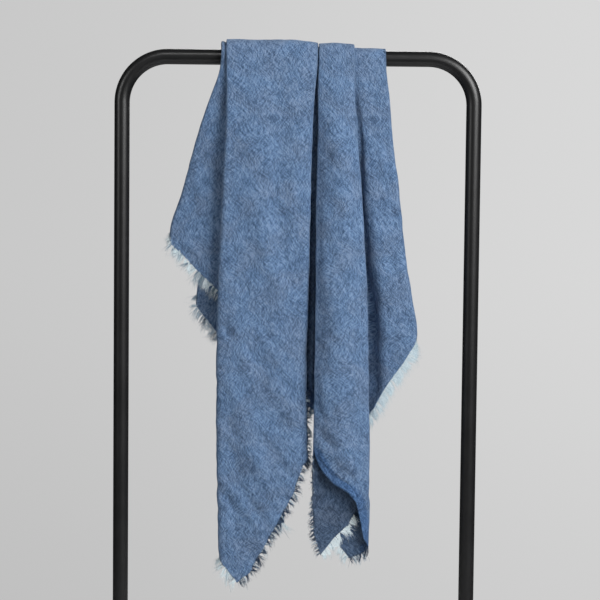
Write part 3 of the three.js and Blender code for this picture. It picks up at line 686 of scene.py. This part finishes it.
def fringe_piece(spec, materials):
    """A frayed edge: a mat of short yarn ends with longer hairs out of it."""
    name, stretch_name, side, start, end, reach, yarn, spacing, lock, gathering = spec
    pale, haze = yarn in PALE_KINDS, yarn == "haze"
    rng = np.random.RandomState(500 + [row[0] for row in FRINGES + LOOSE_THREADS].index(name))
    line = hem_line if side in ("front", "back") else edge_line
    length, point, tangent, out, normal = line(stretch_name, side, start, end)
    mat, hairs = int(length[-1] / spacing), int(length[-1] / spacing / 2.6)
    count = mat + hairs
    is_hair = np.arange(count) >= mat
    where = rng.uniform(0.4, length[-1] - 0.4, count)
    pick = lambda values: np.stack([np.interp(where, length, values[:, k]) for k in range(3)], -1)
    root, along, away, facing = pick(point), unit(pick(tangent)), unit(pick(out)), unit(pick(normal))
    locks = int(length[-1] / lock) + 2
    centres = (np.arange(locks) + rng.uniform(-0.4, 0.4, locks)) * lock
    mine = np.abs(where[:, None] - centres[None, :]).argmin(1)
    loose, shortest = (0.45, 0.6) if haze else (1, 0.4)
    lean = rng.normal(0, 0.3 * loose, locks)[mine] + rng.normal(0, 0.08, count) * np.where(is_hair, 3, 1)
    lift = rng.normal(0, 0.12, locks)[mine] + rng.normal(0, 0.06, count) * np.where(is_hair, 2.5, 1)
    share = np.where(is_hair, rng.uniform(0.75, 1.25, count), rng.uniform(shortest, 0.92, count))
    size = reach * share * (1 + rng.normal(0, 0.14 * loose, locks)[mine])
    droop = 0.5 + rng.normal(0, 0.14, locks)[mine]
    gather = gathering * (centres[mine] - where) * np.where(is_hair, 0.6, 1)
    twist, wound = rng.uniform(0, 2 * math.pi, count), rng.uniform(0.2, 0.75, count)
    curl = rng.uniform(0, 2 * math.pi, locks)[mine] + rng.normal(0, 0.5, count) * np.where(is_hair, 3, 1)
    swing = rng.uniform(0.6, 2.2, locks)[mine] * rng.uniform(0.7, 1.2, count)
    t = np.linspace(0, 1, len(YARN_TAPER))[None, :, None]
    column = lambda values: values[:, None, None]
    down, turned = np.array([0.0, 0.0, -1.0]), column(curl)
    paths = (
        root[:, None, :]
        + facing[:, None, :] * column(rng.uniform(-0.5, 0.5, count))
        - away[:, None, :] * 1.2
        + away[:, None, :] * column(size) * (t - 0.5 * column(droop) * t**2)
        + down * column(size) * 0.62 * column(droop) * t**2
        + along[:, None, :] * (column(lean) * column(size) * t + column(gather) * t**0.7)
        + facing[:, None, :] * column(lift) * column(size) * t
        + along[:, None, :] * column(swing) * (np.sin(4 * t + turned) - np.sin(turned)) * t
        + facing[:, None, :] * column(swing) * (np.cos(4 * t + turned) - np.cos(turned)) * t * 0.5
        + along[:, None, :] * column(wound) * np.sin(5.5 * t + column(twist)) * np.sqrt(t)
        + facing[:, None, :] * column(wound) * np.cos(5.5 * t + column(twist)) * np.sqrt(t)
    )
    thick = np.where(is_hair, rng.uniform(0.14, 0.22, count), rng.uniform(0.26, 0.42, count))
    if haze:
        thick = thick * 0.62
    radii = thick[:, None] * np.array(YARN_TAPER)[None, :]
    vertices, faces = tubes(paths, radii)
    obj = new_mesh_object("yarn_" + name, vertices * MM, faces)
    # The yarns of a lock tend to be alike, and some locks are of the other yarn.
    odd = rng.uniform(0, 1, locks)[mine] * 0.6 + rng.uniform(0, 0.4, count) < ODD_LEVEL[yarn]
    own, other = rng.uniform(0.35, 1, count), rng.uniform(0, 0.15, count)
    if haze:
        own = rng.uniform(0.2, 0.75, count)
    if not pale:
        own, other = rng.uniform(0, 0.55, count), rng.uniform(0.85, 1, count)
    shade = np.where(odd, other, own)
    if pale or yarn == "mixed":
        # Light passes through pale yarn ends as thin as these.
        obj.visible_shadow = False
    obj.data.materials.append(materials["pale" if pale else "dark"])
    tone = obj.data.attributes.new("yarn_tone", "FLOAT", "POINT")
    tone.data.foreach_set("value", np.repeat(shade, len(YARN_TAPER) * YARN_SIDES).astype(np.float32))
    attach(obj, "root")
    if side in ("front", "back"):
        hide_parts(name)
    return obj


# ---------------------------------------------------------------- materials
class Nodes:
    """The nodes of a material or of the world, made one after another."""

    def __init__(self, owner):
        owner.use_nodes = True
        self.owner, self.tree = owner, owner.node_tree
        self.shader = self.tree.nodes.get("Principled BSDF")

    def add(self, kind, **settings):
        node = self.tree.nodes.new(kind)
        for key, value in settings.items():
            if key in node.inputs.keys():
                node.inputs[key].default_value = value
            else:
                setattr(node, key, value)
        return node

    def link(self, out, into):
        self.tree.links.new(out, into)

    def math(self, operation, a, b, kind="ShaderNodeMath"):
        node = self.add(kind, operation=operation)
        for socket, value in zip(node.inputs, (a, b)):
            if isinstance(value, bpy.types.NodeSocket):
                self.link(value, socket)
            else:
                socket.default_value = value
        return node.outputs[0]

    def noise(self, vector, scale, detail, roughness):
        node = self.add("ShaderNodeTexNoise", Scale=scale, Detail=detail, Roughness=roughness)
        self.link(vector, node.inputs["Vector"])
        return node.outputs["Fac"]

    def stretched(self, vector, angle, wide, long):
        """The vector turned by an angle and scaled, so that a noise on it is drawn out that way."""
        turned = (0, 0, math.radians(angle))
        node = self.add("ShaderNodeMapping", vector_type="TEXTURE", Rotation=turned, Scale=(long, wide, 1))
        self.link(vector, node.inputs["Vector"])
        return node.outputs[0]

    def wandering(self, vector, scale, reach):
        """The vector pushed about by slow noise, so that what is drawn on it wanders."""
        push = self.add("ShaderNodeTexNoise", Scale=scale, Detail=1.0)
        self.link(vector, push.inputs["Vector"])
        vectors = "ShaderNodeVectorMath"
        centred = self.math("SUBTRACT", push.outputs["Color"], (0.5, 0.5, 0.5), vectors)
        sized = self.math("MULTIPLY", centred, (reach, reach, 0), vectors)
        return self.math("ADD", vector, sized, vectors)

    def tinted(self, colour, factor, tint):
        """The colour multiplied by a tint, as far as the factor says."""
        node = self.add("ShaderNodeMix", data_type="RGBA", blend_type="MULTIPLY")
        self.link(factor, node.inputs[0])
        self.link(colour, node.inputs[6])
        node.inputs[7].default_value = (*tint, 1)
        return node.outputs[2]

    def surface(self, height, strength, distance, **settings):
        """A bump on the shader, and its other settings. An underscore stands for a space."""
        bump = self.add("ShaderNodeBump", Strength=strength, Distance=distance)
        self.link(height, bump.inputs["Height"])
        self.link(bump.outputs[0], self.shader.inputs["Normal"])
        for key, value in settings.items():
            self.shader.inputs[key.replace("_", " ")].default_value = value

    def ramp(self, factor, stops):
        """A colour for the factor, from (place, colour) stops."""
        node = self.add("ShaderNodeValToRGB")
        elements = node.color_ramp.elements
        while len(elements) < len(stops):
            elements.new(0.5)
        for element, (place, colour) in zip(elements, stops):
            element.position = place
            element.color = (*colour, 1)
        self.link(factor, node.inputs[0])
        return node.outputs[0]


def cloth_material(name, dark, middle, light, tint):
    """Crinkled heathered cloth: navy yarns one way and pale ones the other, both on the bias. The tint is
    painted
    light on its turned edge: the deeper, more saturated blue of light shining through the single layer of
    cloth.
    The noises are drawn out along an angle, with a width and a length in metres."""
    n = Nodes(bpy.data.materials.new(name))
    flat = n.add("ShaderNodeUVMap", uv_map="cloth").outputs[0]
    uv = n.wandering(flat, 24.0, 0.02)
    navy = n.noise(n.stretched(uv, -50, 0.0022, 0.012), 1.0, 2.0, 0.6)
    pale = n.noise(n.stretched(uv, 58, 0.002, 0.0105), 1.0, 2.0, 0.6)
    steep = n.noise(n.stretched(uv, 84, 0.0024, 0.013), 1.0, 2.0, 0.55)
    grain = n.noise(flat, 780.0, 1.0, 0.5)
    patch = n.noise(uv, 34.0, 3.0, 0.55)
    mix = n.math("MULTIPLY", n.math("SUBTRACT", 0.5, navy), 1.9)
    for share, weight in ((pale, 2.0), (steep, 1.2), (grain, 1.9), (patch, 1.0)):
        mix = n.math("ADD", mix, n.math("MULTIPLY", n.math("SUBTRACT", share, 0.5), weight))
    heather = n.ramp(n.math("ADD", mix, 0.5), [(0.02, dark), (0.5, middle), (0.98, light)])
    drift = n.ramp(n.noise(uv, 21.0, 2.0, 0.6), [(0.42, (0, 0, 0)), (0.6, (1, 1, 1))])
    faded = n.tinted(heather, drift, (1.05, 0.97, 0.93))
    # Painted light: along the turned hem, the tint deepens the colour to the saturated blue of light shining
    # through the single layer of cloth.
    turned = n.add("ShaderNodeAttribute", attribute_name="turned_edge_backlight").outputs["Fac"]
    n.link(n.tinted(faded, n.math("MULTIPLY", turned, 0.85), tint), n.shader.inputs["Base Color"])
    # The crinkle: short folds along both yarns, and the yarns themselves.
    crinkle = n.noise(n.stretched(uv, -50, 0.0042, 0.015), 1.0, 3.0, 0.6)
    cross = n.noise(n.stretched(uv, 52, 0.0038, 0.013), 1.0, 3.0, 0.6)
    height = n.math("ADD", n.math("MULTIPLY", crinkle, 0.9), n.math("MULTIPLY", cross, 0.8))
    height = n.math("ADD", height, n.math("MULTIPLY", n.math("SUBTRACT", pale, navy), 0.22))
    n.surface(
        height, 1.0, 0.0022, Roughness=0.92, Specular_IOR_Level=0.18,
        Sheen_Weight=0.18, Sheen_Roughness=0.5, Sheen_Tint=(0.62, 0.74, 0.9, 1),
    )
    return n.owner


def yarn_material(name, stops):
    """Yarn ends, each with a tone of its own from 0 to 1 and flecks."""
    n = Nodes(bpy.data.materials.new(name))
    tone = n.add("ShaderNodeAttribute", attribute_name="yarn_tone").outputs["Fac"]
    place = n.add("ShaderNodeTexCoord").outputs["Object"]
    fleck = n.noise(place, 900.0, 1.0, 0.5)
    mix = n.math("ADD", tone, n.math("MULTIPLY", n.math("SUBTRACT", fleck, 0.5), 0.2))
    n.link(n.ramp(mix, stops), n.shader.inputs["Base Color"])
    n.surface(fleck, 0.4, 0.0002, Roughness=0.85, Specular_IOR_Level=0.2, Sheen_Weight=0.2)
    return n.owner


def steel_material(name, smoothest, roughest):
    """Black satin powder coat, with its fine orange peel and slight rubs."""
    n = Nodes(bpy.data.materials.new(name))
    place = n.add("ShaderNodeTexCoord").outputs["Object"]
    wide = n.noise(place, 14.0, 3.0, 0.55)
    peel = n.noise(place, 1400.0, 2.0, 0.5)
    black = n.ramp(wide, [(0.3, (0.0085, 0.0086, 0.009)), (0.7, (0.0125, 0.0125, 0.013))])
    n.link(black, n.shader.inputs["Base Color"])
    rough = n.add("ShaderNodeMapRange", **{"To Min": smoothest, "To Max": roughest})
    n.link(wide, rough.inputs["Value"])
    n.link(rough.outputs[0], n.shader.inputs["Roughness"])
    n.surface(peel, 0.25, 0.00012, Specular_IOR_Level=0.5)
    return n.owner


# ---------------------------------------------------------------- the rack
def rack_tube(material):
    """The bent tube, round and smooth: up the left leg, along the rail and down the right leg."""
    leg = (RACK_WIDTH - TUBE) / 2
    top = RAIL_Z - BEND_RADIUS
    line = [(-leg, 0, FOOT_THICKNESS + GAP)]
    line += [(-leg, 0, z) for z in np.linspace(150, top - 60, 8)]
    bend = np.linspace(0, math.pi / 2, 25)
    round_bend = [(BEND_RADIUS * (1 - math.cos(b)), top + BEND_RADIUS * math.sin(b)) for b in bend]
    line += [(-leg + inwards, 0, z) for inwards, z in round_bend]
    line += [(x, 0, RAIL_Z) for x in np.linspace(-leg + BEND_RADIUS, leg - BEND_RADIUS, 9)[1:-1]]
    line += [(leg - inwards, 0, z) for inwards, z in round_bend[::-1]]
    line += [(leg, 0, z) for z in np.linspace(top - 60, 150, 8)]
    line += [(leg, 0, FOOT_THICKNESS + GAP)]
    line = np.array(line, float)
    ahead = unit(np.gradient(line, axis=0))
    side = np.cross(ahead, (0, 1, 0))
    turn = (2 * math.pi * np.arange(TUBE_SIDES) / TUBE_SIDES)[None, :, None]
    ring = side[:, None, :] * np.cos(turn) + np.array([0, 1.0, 0]) * np.sin(turn)
    vertices = (line[:, None, :] + ring * TUBE / 2).reshape(-1, 3)
    obj = new_mesh_object("rack_tube", vertices * MM, ring_quads(len(line), TUBE_SIDES))
    obj.data.materials.append(material)
    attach(obj, "root")
    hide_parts("rack_frame")


def rack_foot(side, material):
    """A flat bar with round ends and eased edges, on the left for a side of -1 and on the right for 1."""
    name = "left" if side < 0 else "right"
    half, radius = FOOT_LENGTH / 2, FOOT_WIDTH / 2
    outline = []
    for end, start in ((1, 0), (-1, math.pi)):
        for a in np.linspace(start, start + math.pi, 33):
            outline.append((radius * math.cos(a), end * (half - radius) + radius * math.sin(a)))
    outline = np.array(outline)
    turns = np.linspace(0, math.pi / 2, 5)
    levels = [(FOOT_EASE * (1 - math.sin(b)), FOOT_EASE * (1 - math.cos(b))) for b in turns]
    levels += [(inset, FOOT_THICKNESS - z) for inset, z in levels[::-1]]
    rings = []
    for inset, z in levels:
        share = (radius - inset) / radius
        ends = np.sign(outline[:, 1]) * (half - radius)
        y = ends + (outline[:, 1] - ends) * share
        rings.append(np.stack([outline[:, 0] * share, y, np.full(len(outline), z)], -1))
    vertices = np.concatenate(rings)
    around = len(outline)
    under, top = [*range(around)][::-1], [*range(len(vertices) - around, len(vertices))]
    faces = ring_quads(len(rings), around).tolist() + [under, top]
    mesh = bpy.data.meshes.new("rack_foot_" + name)
    shifted = vertices + np.array([side * (RACK_WIDTH - TUBE) / 2, 0, 0])
    mesh.from_pydata((shifted * MM).tolist(), [], faces)
    mesh.update()
    obj = bpy.data.objects.new("rack_foot_" + name, mesh)
    bpy.context.scene.collection.objects.link(obj)
    for polygon in mesh.polygons:
        polygon.use_smooth = len(polygon.vertices) == 4
    mesh.materials.append(material)
    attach(obj, "root")
    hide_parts("foot_" + name)


# ---------------------------------------------------------------- the studio
def studio():
    """A plain backdrop that is seen and doesn't light the part, five softboxes and a round pale floor."""
    scene = bpy.context.scene
    scene.view_settings.view_transform = "Standard"
    scene.world = bpy.data.worlds.new("studio")
    n = Nodes(scene.world)
    n.tree.nodes.clear()
    way = n.add("ShaderNodeSeparateXYZ")
    n.link(n.add("ShaderNodeTexCoord").outputs["Generated"], way.inputs[0])

    def graded(value, low, high, from_low, from_high):
        settings = {"From Min": from_low, "From Max": from_high, "To Min": low, "To Max": high}
        node = n.add("ShaderNodeMapRange", interpolation_type="SMOOTHSTEP", **settings)
        n.link(value, node.inputs["Value"])
        return node.outputs[0]

    # The backdrop grows lighter to the right and upwards.
    sideways = graded(way.outputs["X"], 0.575, 0.695, -0.24, 0.24)
    upwards = graded(way.outputs["Z"], 0.89, 1.0, -0.3, -0.02)
    seen = n.add("ShaderNodeBackground", Color=(1, 1, 1, 1))
    n.link(n.math("MULTIPLY", sideways, upwards), seen.inputs["Strength"])
    ambient = n.add("ShaderNodeBackground", Color=(0.95, 0.98, 1, 1), Strength=0.03)
    pick = n.add("ShaderNodeMixShader")
    n.link(n.add("ShaderNodeLightPath").outputs["Is Camera Ray"], pick.inputs[0])
    n.link(ambient.outputs[0], pick.inputs[1])
    n.link(seen.outputs[0], pick.inputs[2])
    n.link(pick.outputs[0], n.add("ShaderNodeOutputWorld").inputs["Surface"])

    def softbox(name, place, width, height, watts):
        light = bpy.data.lights.new(name, "AREA")
        light.shape = "RECTANGLE"
        light.size, light.size_y, light.energy = width, height, watts
        obj = bpy.data.objects.new(name, light)
        scene.collection.objects.link(obj)
        obj.location = place
        obj.rotation_mode = "QUATERNION"
        obj.rotation_quaternion = (aim - Vector(place)).to_track_quat("-Z", "Y")

    aim = Vector((0, 0, 0.95))
    softbox("top", (-0.4, -2.0, 3.1), 0.6, 0.4, 11)
    softbox("right", (2.15, -2.1, 2.25), 1.7, 1.7, 101)
    softbox("front", (1.4, -2.95, 1.8), 1.0, 1.2, 18)
    softbox("left", (-2.5, -1.9, 1.8), 0.9, 1.3, 20)
    softbox("behind", (0.6, 2.8, 2.2), 2.0, 1.6, 52)

    floor = bpy.data.meshes.new("floor")
    turns = np.linspace(0, 2 * math.pi, FLOOR_SIDES + 1)[:-1]
    ring = [(FLOOR_RADIUS * math.cos(a), FLOOR_RADIUS * math.sin(a), 0) for a in turns]
    floor.from_pydata(ring, [], [tuple(range(FLOOR_SIDES))])
    floor_object = bpy.data.objects.new("floor", floor)
    scene.collection.objects.link(floor_object)
    floor_object.location = (0, 0, -0.0005)  # just under the feet
    n = Nodes(bpy.data.materials.new("pale_floor"))
    place = n.add("ShaderNodeTexCoord").outputs["Object"]
    speck = n.noise(place, 260.0, 3.0, 0.6)
    grey = n.ramp(speck, [(0.3, (0.6, 0.6, 0.6)), (0.7, (0.66, 0.66, 0.66))])
    n.link(grey, n.shader.inputs["Base Color"])
    n.shader.inputs["Roughness"].default_value = 0.8
    floor.materials.append(n.owner)
    floor_object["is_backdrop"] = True


def camera():
    """In front of the rack and a little below its rail, looking slightly down."""
    data = bpy.data.cameras.new("camera")
    obj = bpy.data.objects.new("camera", data)
    bpy.context.scene.collection.objects.link(obj)
    place = Vector((0.0065, -2.9, RAIL_Z * MM - 0.2024))
    pitch, roll = math.radians(-3.813), math.radians(0.6)
    focal_pixels, picture_pixels = 1765.7, 600
    data.sensor_width = 36
    data.lens = data.sensor_width * focal_pixels / picture_pixels
    ahead = Vector((0, math.cos(pitch), math.sin(pitch)))
    right = Vector((1, 0, 0))
    up = right.cross(ahead)
    right, up = right * math.cos(roll) + up * math.sin(roll), up * math.cos(roll) - right * math.sin(roll)
    obj.matrix_world = Matrix.Translation(place) @ Matrix((right, up, -ahead)).transposed().to_4x4()
    bpy.context.scene.camera = obj


# ---------------------------------------------------------------- putting it together
camera()
studio()

# The last colour of each is painted light along the turned hem: the saturated blue of light shining through
# the cloth.
FACE = cloth_material(
    "cloth_face", (0.056, 0.102, 0.195), (0.114, 0.2, 0.35), (0.2, 0.305, 0.485), (0.45, 0.62, 0.8)
)
# The reverse is darker than the face, partly as the cloth's other side and partly as painted shade on the
# inner layers seen below the middle fold's hem.
REVERSE_AND_SHADE = cloth_material(
    "cloth_reverse_and_shade", (0.028, 0.049, 0.092), (0.057, 0.095, 0.163), (0.1, 0.152, 0.245), (0.6, 0.7, 0.85)
)
YARN = {
    "pale": yarn_material("pale_yarn", [
        (0.0, (0.07, 0.13, 0.2)), (0.2, (0.3, 0.41, 0.48)), (0.5, (0.6, 0.69, 0.73)),
        (1.0, (0.82, 0.87, 0.88)),
    ]),
    "dark": yarn_material("dark_yarn", [
        (0.0, (0.018, 0.034, 0.07)), (0.6, (0.07, 0.12, 0.21)), (0.8, (0.24, 0.34, 0.45)),
        (1.0, (0.62, 0.72, 0.78)),
    ]),
}
STEEL = steel_material("black_powder_coat", 0.3, 0.4)
FOOT_STEEL = steel_material("black_powder_coat_feet", 0.52, 0.62)

rack_tube(STEEL)
rack_foot(-1, FOOT_STEEL)
rack_foot(1, FOOT_STEEL)

# The left flap's inside takes the face's material, and so none of the reverse's painted shade.
cloth = {name: cloth_piece(name, [FACE, FACE if name == "left_flap" else REVERSE_AND_SHADE]) for name in STRETCHES}
fringes = {spec[0]: fringe_piece(spec, YARN) for spec in FRINGES + LOOSE_THREADS}

VISUAL_BOX = [list(corner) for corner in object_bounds()]
